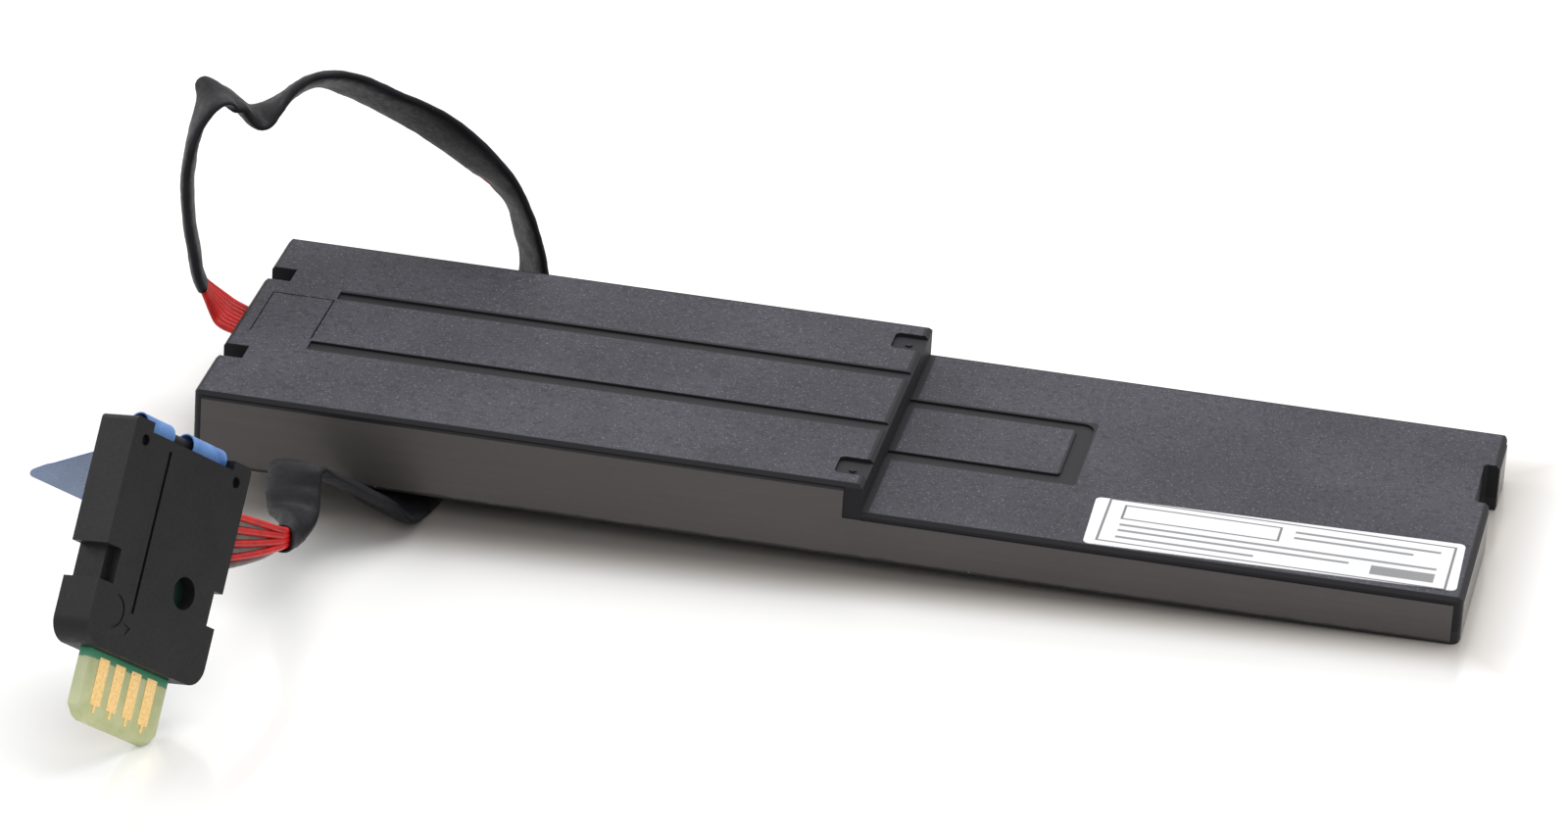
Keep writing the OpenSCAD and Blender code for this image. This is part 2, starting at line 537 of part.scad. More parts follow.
module plug_fingers() color([0.92, 0.7, 0.35]) plug_side()
    for (i = [0 : fingers - 1], s = [0, 1]) {
        x = (i - (fingers - 1) / 2) * finger_p;
        z = s == 0 ? card_t / 2 : -card_t / 2 - 0.06;
        box([x - finger_w / 2, 2.1, z], [x + finger_w / 2, 2.1 + finger_l, z + 0.06]);
        box([x - 0.2, 1.2, z], [x + 0.2, 2.1 + eps, z + 0.06]);
    }
module plug_joints() color([0.78, 0.78, 0.8]) plug_side()
    for (i = [0 : wires / 2 - 1], s = [0, 1]) {
        y = wire_y + (i - (wires / 2 - 1) / 2) * 2 * wire_pitch + (s - 0.5) * wire_pitch;
        z = s == 0 ? card_t / 2 : -card_t / 2 - 0.6;
        box([card_in - 3.2, y - 0.35, z], [card_in - 0.8, y + 0.35, z + 0.6]);
    }
module pull_tab() color([0.25, 0.45, 0.75]) plug_side() {
    th = 0.15;
    r = 1.5;
    // two bands looped round the bar, with a window between them
    for (x = [[-plug_w / 2 + 3.4, -2.4], [1.2, plug_w / 2 - 3.4]])
        translate([x[0], bar_y, 0]) rotate([0, 90, 0]) difference() {
            cylinder(r = r, h = x[1] - x[0]);
            translate([0, 0, -1]) cylinder(r = r - th, h = 20);
        }
    // tail that hangs out behind the plug
    w0 = plug_w / 2 - 3.4;
    flare = 1.2;
    translate([0, bar_y, 0]) rotate([-111, 0, 0]) translate([0, 0, -r]) linear_extrude(th) union() {
        translate([-w0, 0.2]) square([2 * w0, 6]);
        polygon([[-w0, 5], [w0, 5], [w0 + flare, tab_l - 2], [-w0 - flare, tab_l - 2]]);
        translate([-w0 - flare, tab_l - 4.5]) plate2d(2 * (w0 + flare), 4.5, 1.6);
    }
}

bottom_case();
top_cover();
exit_panel();
side_film();
end_film();
rating_label();
cell_left();
cell_right();
cell_tape();
cell_links();
insulator_sheet();
board();
board_chips();
board_mosfets();
board_passives();
board_fuse();
thermistor();
inner_ribbon();
ribbon_joints();
ribbon_clamp();
ribbon_cable();
cable_sleeve();
plug_front();
plug_back();
plug_board();
plug_fingers();
plug_joints();
pull_tab();
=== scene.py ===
"""Looks of the RAID battery module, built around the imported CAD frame."""

import math

import bpy
import numpy as np
from mathutils import Matrix, Vector, noise


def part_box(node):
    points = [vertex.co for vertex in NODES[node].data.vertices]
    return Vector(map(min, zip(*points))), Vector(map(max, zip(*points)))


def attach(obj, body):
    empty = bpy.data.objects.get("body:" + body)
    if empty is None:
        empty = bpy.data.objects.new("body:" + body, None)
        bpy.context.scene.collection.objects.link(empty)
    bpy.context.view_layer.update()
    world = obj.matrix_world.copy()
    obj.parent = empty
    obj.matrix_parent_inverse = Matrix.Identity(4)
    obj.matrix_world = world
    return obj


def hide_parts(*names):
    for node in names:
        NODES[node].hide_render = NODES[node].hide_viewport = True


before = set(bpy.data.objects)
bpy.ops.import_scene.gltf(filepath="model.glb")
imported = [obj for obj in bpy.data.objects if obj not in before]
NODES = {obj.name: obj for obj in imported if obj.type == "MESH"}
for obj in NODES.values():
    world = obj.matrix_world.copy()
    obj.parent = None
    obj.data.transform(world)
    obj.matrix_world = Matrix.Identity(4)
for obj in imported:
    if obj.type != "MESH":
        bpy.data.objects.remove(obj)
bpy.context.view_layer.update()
MM = 0.001

# ---------------------------------------------------------------- sizes repeated from the CAD, in mm
BODY_L, BODY_W = 153.3, 46.0                # the case
THICK_L, THICK_H, THIN_H = 81.5, 9.6, 6.0   # its thick end, and the height of the thin one
LEAN = math.radians(1.9)                    # the thick end rests on the cable
SLOT_Y = BODY_W / 2 + 1.2                   # slot that the cable leaves by
SLOT_DROP = 2                               # from the top face to the slot's middle
# the row frame's origin, from the case's corner: the middle of the leaning case
MID = np.array([BODY_L - BODY_L * math.cos(LEAN) + BODY_L + THIN_H * math.sin(LEAN), BODY_W, 0]) / 2
WIRES, PITCH, WIRE_D = 8, 0.88, 0.9
SLEEVE_W, SLEEVE_T = 8.2, 1.7
PLUG_W, PLUG_L = 21.4, 26.3
TONGUE_W, TONGUE_L, CARD_T = 14.2, 8.1, 1.6
TONGUE_CUT, TONGUE_BEVEL = 1.6, 0.45
PLUG_TOP = TONGUE_L + PLUG_L
PLUG_X, PLUG_Y = 8.4, -65.8                 # where it stands, from the case's corner
PLUG_TURN = (74, 36, 57.5)                  # degrees about x, y and z
TAB_BAR_Y = PLUG_TOP - 0.3                  # bar that the pull tab is looped round
ENTRY_DROP, ENTRY_IN, ENTRY_OUT = 8.2, 0.9, 1.2       # where the cable goes into the plug's side
label_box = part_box("rating_label")
LABEL_LO, LABEL_HI = ([corner[i] / MM + MID[i] for i in range(2)] for corner in label_box)

# ---------------------------------------------------------------- sizes of the finishes, in mm
GROOVES_Y, GROOVES_X = (16.65, 31.55), (9.9, 104.6)   # the two long grooves, and their ends
CROSS_X, CROSS_Y, CROSS_HALF = 103.4, 24.1, 8.4       # the groove across their ends
GROOVE_HALF = 1.2
BAND_SOFT = 0.25                            # how softly a smooth band ends
EDGE_DROP = (0.16, 0.05)                    # the grain ends this far below the top faces
FILM_RIM = (0.85, 1.0)                      # width of the film's dark frame
STEP_RIM = 0.6
LABEL_LINE = (0.1, 0.2)                     # a drawn line fades out so far from its middle
TAB_SHADE = (1.28, 1.36)                     # distance from the bar within which navy shade is painted on the tab,
TAB_TAIL = (2.2, 3.4)                       # and where it turns grey
MASK_EDGE, MASK_SHADE = (-0.95, -0.7), (0.4, 1.2)      # edge of the card's green mask, and the span of the shade painted on it inside the housing, from the tongue's root

# ---------------------------------------------------------------- the photo's camera, and the light
PHOTO_W, FOCAL, SENSOR = 1600, 8052.7, 36   # two in pixels, and one in mm
CAMERA_AT = (227.10711, -822.22845, 421.07529)        # in mm, from the case's corner
CAMERA_RIGHT = (0.97989444, 0.19769567, 0.02689436)
CAMERA_DOWN = (0.10925365, -0.41889346, -0.9014388)
CAMERA_AHEAD = (-0.16694468, 0.88625318, -0.43207035)
FILL = 0.42                                 # strength of the world's light
# name, place, target and sides in metres, power in watts
LAMPS = (
    ("top_soft", (0.1, 0.35, 0.9), (0, 0, 0), (1.0, 0.8), 9.0),
    ("left_soft", (-0.9, 0.15, 0.45), (0, 0, 0.02), (0.6, 0.6), 3.0),
    ("front_soft", (0.3, -1.0, 0.8), (0, 0, 0), (0.8, 0.5), 3.0),
)
TABLE_HALF = 3.0                            # in metres
LIFT_FROM, LIFT_TO, LIFT = 1, 20, 0.17      # mm off the case, and the table's own light beyond
SHADE_TO = 9                                # mm off the case where its shade has ended


def lean_pt(p):
    """A point of the case, from its own corner, in the row frame, in mm."""
    c, s = math.cos(LEAN), math.sin(LEAN)
    return np.array([BODY_L + (p[0] - BODY_L) * c + p[2] * s, p[1], -(p[0] - BODY_L) * s + p[2] * c]) - MID


def turn(p):
    """A direction of the plug in the row frame."""
    cx, sx, cy, sy, cz, sz = (f(math.radians(a)) for a in PLUG_TURN for f in (math.cos, math.sin))
    a = (p[0], p[1] * cx - p[2] * sx, p[1] * sx + p[2] * cx)
    b = (a[0] * cy + a[2] * sy, a[1], -a[0] * sy + a[2] * cy)
    return np.array([b[0] * cz - b[1] * sz, b[0] * sz + b[1] * cz, b[2]])


# the plug stands on the lowest of the tongue's corners
half_w, half_t = TONGUE_W / 2, CARD_T / 2
TONGUE_PTS = [(half_w, TONGUE_CUT, s * half_t) for s in (1, -1)]
TONGUE_PTS += [(half_w - TONGUE_CUT, 0, s * (half_t - TONGUE_BEVEL)) for s in (1, -1)]
TONGUE_PTS += [(half_w - TONGUE_CUT, TONGUE_BEVEL, s * half_t) for s in (1, -1)]
PLUG_AT = np.array([PLUG_X, PLUG_Y, -min(turn(p)[2] for p in TONGUE_PTS)]) - MID


def plug_pt(p):
    """A point of the plug in the row frame, in mm."""
    return turn(p) + PLUG_AT


# ---------------------------------------------------------------- nodes
class Nodes:
    """A node tree whose nodes are made one after the other."""

    def __init__(self, tree):
        self.tree = tree

    def put(self, socket, value):
        """Link a socket to an output, or set its value."""
        if isinstance(value, bpy.types.NodeSocket):
            self.tree.links.new(value, socket)
        else:
            socket.default_value = value

    def node(self, kind, inputs=(), out=0, **props):
        """One output of a new node."""
        made = self.tree.nodes.new("ShaderNode" + kind)
        for key, value in props.items():
            setattr(made, key, value)
        for key, value in (inputs.items() if isinstance(inputs, dict) else enumerate(inputs)):
            self.put(made.inputs[key], value)
        return made.outputs[out]

    def maths(self, op, a, b=0.0):
        return self.node("Math", (a, b), operation=op)

    def plus(self, a, b):
        return self.maths("ADD", a, b)

    def minus(self, a, b):
        return self.maths("SUBTRACT", a, b)

    def times(self, a, b):
        return self.maths("MULTIPLY", a, b)

    def above(self, a, b):
        return self.maths("GREATER_THAN", a, b)

    def below(self, a, b):
        return self.maths("LESS_THAN", a, b)

    def off(self, value, middle):
        """Distance from a middle."""
        return self.maths("ABSOLUTE", self.minus(value, middle))

    def most(self, first, *others):
        for other in others:
            first = self.maths("MAXIMUM", first, other)
        return first

    def least(self, first, *others):
        for other in others:
            first = self.maths("MINIMUM", first, other)
        return first

    def fade(self, value, lo, hi, to_lo=0.0, to_hi=1.0):
        """A smooth change from to_lo, at lo, to to_hi, at hi."""
        return self.node("MapRange", {"Value": value, "From Min": lo, "From Max": hi, "To Min": to_lo,
                                      "To Max": to_hi}, interpolation_type="SMOOTHSTEP")

    def seen(self):
        """1 for the rays that show a thing, straight or in a gloss, and 0 for those that light it."""
        rays = self.tree.nodes.new("ShaderNodeLightPath").outputs
        return self.most(rays["Is Camera Ray"], rays["Is Glossy Ray"], rays["Is Transmission Ray"])


class Mat(Nodes):
    """A material on the Principled shader."""

    def __init__(self, name, colour, rough, metal=0.0, **sockets):
        self.material = bpy.data.materials.new(name)
        self.material.use_nodes = True
        super().__init__(self.material.node_tree)
        self.bsdf = self.tree.nodes["Principled BSDF"]
        self.set("Base Color", (*colour, 1))
        self.set("Roughness", rough)
        self.set("Metallic", metal)
        for key, value in sockets.items():
            self.set(key.replace("_", " "), value)
        self.material.diffuse_color = (*colour, 1)

    def set(self, key, value):
        self.put(self.bsdf.inputs[key], value)

    def finish(self, colour, rough, height, depth, strength):
        """The colour, the roughness, and a bump of so many mm."""
        self.set("Base Color", colour)
        self.set("Roughness", rough)
        self.set("Normal", self.node("Bump", {"Height": height, "Distance": depth * MM, "Strength": strength},
                                     out="Normal"))

    def place(self, turned=(0, 0, 0), shift=(0, 0, 0)):
        """Object coordinates in mm, turned and then shifted."""
        return self.node("Mapping", {"Vector": self.node("TexCoord", out="Object"), "Scale": (1 / MM,) * 3,
                                     "Rotation": turned, "Location": shift})

    def case_place(self):
        """Coordinates along the case's own length, width and height, in mm."""
        back = Matrix.Rotation(-LEAN, 3, "Y")
        foot = Vector((BODY_L, 0, 0))
        return self.place((0, -LEAN, 0), back @ (Vector(MID) - foot) + foot)

    def plug_place(self):
        """Coordinates in the plug's own frame, in mm."""
        axes = Matrix([turn((1, 0, 0)), turn((0, 1, 0)), turn((0, 0, 1))])
        return self.place(axes.to_euler(), -(axes @ Vector(PLUG_AT)))

    def axes(self, where):
        split = self.tree.nodes.new("ShaderNodeSeparateXYZ")
        self.put(split.inputs[0], where)
        return split.outputs[0], split.outputs[1], split.outputs[2]

    def noise(self, where, scale, detail=2.0, rough=0.5):
        """Noise with about so many lumps to the mm."""
        return self.node("TexNoise", {"Vector": where, "Scale": scale, "Detail": detail, "Roughness": rough},
                         out="Fac")

    def spread(self, value, lo, hi):
        """The middle of a noise, spread out from lo to hi."""
        return self.fade(value, 0.2, 0.8, lo, hi)

    def mix(self, share, a, b):
        """A mix of two colours: the second has the share."""
        made = self.tree.nodes.new("ShaderNodeMix")
        made.data_type = "RGBA"
        for socket, value in ((made.inputs[0], share), (made.inputs[6], a), (made.inputs[7], b)):
            self.put(socket, (*value, 1) if hasattr(value, "__len__") and len(value) == 3 else value)
        return made.outputs[2]

    def mottle(self, value, a, b):
        """Two colours that change over with a noise."""
        return self.mix(self.fade(value, 0.3, 0.7), a, b)


def shade(colour, factor, lift=0.0):
    return tuple(min(1, c * factor + lift) for c in colour)


def dress(obj, mat):
    obj.data.materials.clear()
    obj.data.materials.append(mat.material)


# ---------------------------------------------------------------- camera, world and lamps
def link(obj):
    bpy.context.scene.collection.objects.link(obj)
    return obj


def make_camera():
    """The photo's view: its place and axes come from a fit to the case's corners."""
    data = bpy.data.cameras.new("photo_camera")
    data.sensor_width = SENSOR
    data.lens = FOCAL / PHOTO_W * SENSOR
    data.clip_start, data.clip_end = 0.05, 20
    camera = link(bpy.data.objects.new("photo_camera", data))
    turned = Matrix((Vector(CAMERA_RIGHT), -Vector(CAMERA_DOWN), -Vector(CAMERA_AHEAD))).transposed().to_4x4()
    camera.matrix_world = Matrix.Translation(Vector(np.array(CAMERA_AT) - MID) * MM) @ turned
    bpy.context.scene.camera = camera


def make_world():
    """White where it is seen or mirrored, and dimmer and bluish as a light."""
    world = bpy.data.worlds.new("studio")
    bpy.context.scene.world = world
    world.use_nodes = True
    nodes = Nodes(world.node_tree)
    nodes.tree.nodes.clear()
    out = nodes.tree.nodes.new("ShaderNodeOutputWorld")
    light = nodes.node("Background", {"Color": (0.96, 0.98, 1, 1), "Strength": FILL})
    white = nodes.node("Background", {"Color": (1, 1, 1, 1), "Strength": 1})
    nodes.put(out.inputs["Surface"], nodes.node("MixShader", (nodes.seen(), light, white)))


def make_lamp(name, place, target, size, power):
    data = bpy.data.lights.new(name, "AREA")
    data.shape = "RECTANGLE"
    data.size, data.size_y = size
    data.energy = power
    lamp = link(bpy.data.objects.new(name, data))
    lamp.location = place
    lamp.rotation_euler = (Vector(target) - lamp.location).to_track_quat("-Z", "Y").to_euler()


def make_floor():
    """A glossy white table. Part of the shade next to the case is painted on it."""
    mesh = bpy.data.meshes.new("table")
    s = TABLE_HALF
    mesh.from_pydata([(-s, -s, 0), (s, -s, 0), (s, s, 0), (-s, s, 0)], [], [(0, 1, 2, 3)])
    obj = link(bpy.data.objects.new("table", mesh))
    m = Mat("table_white", (0.83, 0.815, 0.795), 0.2, Specular_IOR_Level=0.8, Coat_Weight=0.6,
            Coat_Roughness=0.12)
    p = m.place()
    m.set("Roughness", m.spread(m.noise(p, 0.02, 3.0), 0.18, 0.24))
    x, y = m.axes(p)[:2]
    off_case = m.most(m.minus(m.off(x, 0), BODY_L / 2), m.minus(m.off(y, 0), BODY_W / 2))
    # the lift towards white leaves the shaded strip next to the case
    m.set("Emission Color", (1, 1, 1, 1))
    m.set("Emission Strength", m.times(m.seen(), m.fade(off_case, LIFT_FROM, LIFT_TO, 0.0, LIFT)))
    m.set("Base Color", m.mix(m.fade(off_case, 0, SHADE_TO), (0.56, 0.52, 0.48), (0.83, 0.82, 0.805)))
    dress(obj, m)


# ---------------------------------------------------------------- finishes
def moulded(name, colour, rough, grain, glint_share, where):
    """Spark-eroded moulded plastic: fine grain, a few pale specks painted as the grain's glints, faint
    clouding.
    """
    m = Mat(name, colour, rough, Specular_IOR_Level=0.2)
    p = getattr(m, where)()
    fine = m.noise(p, grain, 3.0, 0.6)
    glint_dots = m.fade(m.noise(p, grain * 0.55, 2.0, 0.7), 0.62, 0.78)
    base = m.mottle(m.noise(p, 0.12, 3.0), shade(colour, 0.8), shade(colour, 1.15))
    # painted highlight: a few pale specks standing in for the glints of the grain's facets
    base = m.mix(m.times(glint_dots, glint_share), base, shade(colour, 3.2, 0.04))
    m.finish(base, m.spread(fine, rough - 0.08, rough + 0.12), fine, 0.02, 0.7)
    return m


def case_top_material():
    """The cover: grain on its upper faces with pale bluish specks painted as the grain's glints, dark smooth
    bands along grooves and edges.
    """
    m = Mat("case_cover", (0.05, 0.05, 0.055), 0.6, Specular_IOR_Level=0.18)
    p = m.case_place()
    x, y, z = m.axes(p)
    fine = m.noise(p, 3.2, 3.0, 0.7)
    coarse = m.noise(p, 1.3, 2.0, 0.6)
    cloud = m.noise(p, 0.06, 3.0)
    base = m.mix(m.fade(cloud, 0.35, 0.65), (0.042, 0.041, 0.05), (0.058, 0.056, 0.068))
    base = m.mix(m.fade(coarse, 0.35, 0.5, 0.55, 0.0), base, (0.02, 0.02, 0.025))
    # painted highlight: pale bluish specks on the grain, standing in for the glints of its facets
    base = m.mix(m.fade(fine, 0.55, 0.68, 0.0, 0.8), base, (0.17, 0.17, 0.2))

    def band(value, middle, half):
        """1 within half a width of the middle, softly ending."""
        return m.fade(m.off(value, middle), half, half + BAND_SOFT, 1.0, 0.0)

    borders = [band(*edge) for edge in ((y, 0, 0.55), (y, BODY_W, 0.55), (x, BODY_L, 0.6),
                                        (x, THICK_L, 0.7), (x, 0, 0.45))]
    along = m.most(*(band(y, middle, GROOVE_HALF) for middle in GROOVES_Y))
    along = m.times(along, m.times(m.above(x, GROOVES_X[0]), m.below(x, GROOVES_X[1])))
    across = m.times(band(x, CROSS_X, GROOVE_HALF), band(y, CROSS_Y, CROSS_HALF))
    on_thick = m.below(x, THICK_L)
    lower = [m.times(part, m.fade(z, top - EDGE_DROP[0], top - EDGE_DROP[1], 1.0, 0.0))
             for part, top in ((on_thick, THICK_H), (m.minus(1.0, on_thick), THIN_H))]
    smooth = m.most(*borders, along, across, *lower)
    base = m.mix(smooth, base, (0.0125, 0.0125, 0.0145))
    rough = m.mix(smooth, m.spread(fine, 0.55, 0.75), (0.6, 0.6, 0.6))
    grain = m.plus(m.times(fine, 0.6), m.times(coarse, 0.4))
    m.finish(base, rough, m.times(grain, m.minus(1.0, m.times(smooth, 0.85))), 0.05, 0.8)
    return m


def film_material(name, colour, rough, across):
    """Satin film with faint streaks, a near black frame, and a dark foot with pale nicks."""
    m = Mat(name, colour, rough, Specular_IOR_Level=0.3)
    p = m.case_place()
    x, y, z = m.axes(p)
    drawn_out = m.node("Mapping", {"Vector": p, "Scale": (0.04, 1, 0.9)})
    streak = m.noise(drawn_out, 1.5, 3.0)
    fine = m.noise(p, 1.4, 2.0)
    broad = m.noise(p, 0.035, 2.0)
    base = m.mottle(streak, shade(colour, 0.96), shade(colour, 1.04))
    base = m.mix(m.fade(broad, 0.35, 0.65, 0.0, 0.35), base, shade(colour, 0.7))
    # rim is the distance from the film's nearest edge
    along, end = (y, BODY_W) if across else (x, BODY_L)
    rim = m.least(m.minus(along, 0), m.minus(end, along))
    if not across:
        step = m.minus(m.off(x, THICK_L - STEP_RIM), STEP_RIM)
        under_step = m.minus(1.0, m.above(z, THIN_H - STEP_RIM))
        rim = m.least(rim, m.most(step, m.times(under_step, 9.0)))
    top = m.mix(m.below(x, THICK_L), (THIN_H,) * 3, (THICK_H,) * 3)
    rim = m.least(rim, m.minus(top, z))
    base = m.mix(m.fade(rim, *FILM_RIM, 1.0, 0.0), base, (0.008, 0.008, 0.009))
    foot = m.plus(z, m.times(m.minus(m.noise(p, 0.35, 3.0), 0.5), 0.5))
    base = m.mix(m.fade(foot, 0.3, 0.55, 0.85, 0.0), base, (0.014, 0.014, 0.014))
    nick = m.times(m.fade(m.noise(p, 0.5, 3.0, 0.7), 0.64, 0.68), m.fade(foot, 0.25, 0.5, 1.0, 0.0))
    base = m.mix(m.times(nick, 0.7), base, (0.25, 0.24, 0.22))
    m.finish(base, m.spread(fine, rough - 0.05, rough + 0.08), m.plus(streak, m.times(fine, 0.3)), 0.01, 0.4)
    return m


def sleeve_material():
    """Dark shrink sleeve: satin, with dust, and pale patches on the ridges."""
    m = Mat("sleeve_black", (0.01, 0.01, 0.012), 0.5, Specular_IOR_Level=0.16)
    p = m.place()
    fine = m.noise(p, 1.6, 4.0, 0.6)
    cloud = m.noise(p, 0.16, 3.0)
    pale_patch = m.fade(m.noise(p, 0.55, 4.0, 0.7), 0.6, 0.72)
    ridge = m.fade(m.node("NewGeometry", out="Pointiness"), 0.5, 0.58)
    dust = m.fade(m.noise(p, 0.9, 4.0, 0.75), 0.6, 0.75)
    base = m.mix(m.fade(cloud, 0.35, 0.65), (0.006, 0.006, 0.0075), (0.013, 0.013, 0.016))
    base = m.mix(m.times(m.times(pale_patch, ridge), 0.8), base, (0.24, 0.24, 0.24))
    base = m.mix(m.times(dust, 0.3), base, (0.09, 0.09, 0.095))
    m.finish(base, m.fade(fine, 0.25, 0.75, 0.45, 0.62), fine, 0.05, 0.5)
    return m


def wire_material(name, colour):
    """Soft PVC insulation, faintly clouded."""
    m = Mat(name, colour, 0.42, Specular_IOR_Level=0.3)
    p = m.place()
    fine = m.noise(p, 3.0, 3.0)
    base = m.mottle(m.noise(p, 0.5, 2.0), shade(colour, 0.8), shade(colour, 1.15))
    m.finish(base, m.spread(fine, 0.32, 0.48), fine, 0.02, 0.4)
    return m


def card_material():
    """Bare pale laminate, with a green mask where the tongue goes into the housing, darkened deeper inside by
    painted shade.
    """
    m = Mat("card_pale", (0.45, 0.5, 0.24), 0.35, Coat_Weight=0.15, Coat_Roughness=0.25)
    p = m.plug_place()
    x, y = m.axes(p)[:2]
    weave = {"Vector": p, "Scale": 1.9, "Distortion": 1.0, "Detail": 1.0}
    cloth = m.plus(*(m.node("TexWave", weave, out="Fac", bands_direction=d) for d in "XY"))
    pale = m.mottle(m.noise(p, 0.5, 2.0), (0.5, 0.54, 0.24), (0.6, 0.62, 0.31))
    pale = m.mix(m.times(cloth, 0.1), pale, (0.7, 0.75, 0.5))
    near_side = m.fade(m.minus(TONGUE_W / 2, m.off(x, 0)), 0.1, 0.7, 1.0, 0.0)
    pale = m.mix(m.times(near_side, 0.45), pale, (0.62, 0.66, 0.42))
    ragged = m.plus(y, m.times(m.noise(p, 2.0, 2.0), 0.3))
    mask = m.fade(ragged, *(TONGUE_L + v for v in MASK_EDGE))
    # painted shade: the green mask darkens to near black deeper inside the housing
    green = m.mix(m.fade(y, *(TONGUE_L + v for v in MASK_SHADE)), (0.03, 0.26, 0.13), (0.002, 0.02, 0.011))
    m.finish(m.mix(mask, pale, green), m.fade(cloth, 0.0, 2.0, 0.3, 0.42), cloth, 0.012, 0.5)
    return m


def gold_material():
    """Worn gold plating."""
    m = Mat("gold", (0.8, 0.5, 0.2), 0.33, 0.9)
    p = m.plug_place()
    fine = m.noise(p, 2.5, 3.0, 0.6)
    worn = m.fade(m.noise(p, 1.2, 3.0, 0.7), 0.66, 0.74)
    base = m.mottle(fine, (0.82, 0.53, 0.2), (0.95, 0.68, 0.32))
    base = m.mix(m.times(worn, 0.8), base, (0.2, 0.1, 0.03))
    m.finish(base, m.spread(fine, 0.28, 0.45), fine, 0.01, 0.6)
    return m


def tab_material():
    """Blue plastic film: pale over the loops, navy shade painted where it folds inwards round the bar, greyer
    on the tail.
    """
    m = Mat("tab_blue", (0.11, 0.24, 0.5), 0.3, Specular_IOR_Level=0.4)
    p = m.plug_place()
    y, z = m.axes(p)[1:]
    cloud = m.noise(p, 0.3, 3.0)
    up = m.minus(y, TAB_BAR_Y)
    radius = m.maths("SQRT", m.plus(m.times(up, up), m.times(z, z)))
    base = m.mottle(cloud, (0.045, 0.14, 0.42), (0.11, 0.27, 0.58))
    # painted shade: navy on the loops' inner side, close round the bar
    base = m.mix(m.fade(radius, *TAB_SHADE, 1.0, 0.0), base, (0.012, 0.016, 0.1))
    base = m.mix(m.times(m.fade(radius, *TAB_TAIL), 0.7), base, (0.115, 0.17, 0.3))
    m.finish(base, m.spread(m.noise(p, 2.0, 2.0), 0.25, 0.38), cloud, 0.06, 0.4)
    return m


# the label's drawing: boxes as shares of its length and width, x0, y0, x1, y1
LABEL_FRAMES = ((0.035, 0.09, 0.965, 0.91), (0.08, 0.56, 0.5, 0.82))
LABEL_RULES = (
    (0.54, 0.75, 0.93, 0.79), (0.54, 0.64, 0.86, 0.68), (0.08, 0.42, 0.93, 0.46),
    (0.08, 0.31, 0.7, 0.35), (0.08, 0.18, 0.45, 0.22), (0.76, 0.18, 0.93, 0.35),
)


def label_material():
    """White label with plain rules and empty boxes, which say nothing."""
    m = Mat("label_white", (0.85, 0.85, 0.86), 0.4, Specular_IOR_Level=0.3)
    p = m.case_place()
    x, y = m.axes(p)[:2]
    fine = m.noise(p, 3.0, 3.0)
    base = m.mottle(m.noise(p, 0.1, 2.0), (0.74, 0.74, 0.75), (0.79, 0.79, 0.795))

    def outside(box):
        """Distance outside a box's nearest side, and below 0 inside it."""
        gaps = []
        for i, value in enumerate((x, y)):
            lo, hi = (LABEL_LO[i] + (LABEL_HI[i] - LABEL_LO[i]) * box[j] for j in (i, i + 2))
            gaps.append(m.minus(m.off(value, (lo + hi) / 2), (hi - lo) / 2))
        return m.most(*gaps)

    lines = [m.fade(m.off(outside(box), 0), *LABEL_LINE, 0.85, 0.0) for box in LABEL_FRAMES]
    rules = [m.times(m.fade(outside(box), -0.06, 0.06, 1.0, 0.0), 0.75) for box in LABEL_RULES]
    base = m.mix(m.most(*lines, *rules), base, (0.06, 0.06, 0.065))
    m.finish(base, m.spread(fine, 0.36, 0.48), fine, 0.004, 0.5)
    return m


def plain(name, colour, rough, metal, scale, height, spread):
    """Finish of a piece that mostly lies inside: grain and clouding at its own scale."""
    m = Mat(name, colour, rough, metal)
    p = m.place()
    fine = m.noise(p, 2.5 * scale, 3.0, 0.6)
    base = m.mottle(m.noise(p, 0.3 * scale, 2.0), shade(colour, 1 - spread), shade(colour, 1 + spread))
    m.finish(base, m.spread(fine, max(0.05, rough - 0.08), min(1, rough + 0.1)), fine, height, 0.6)
    return m


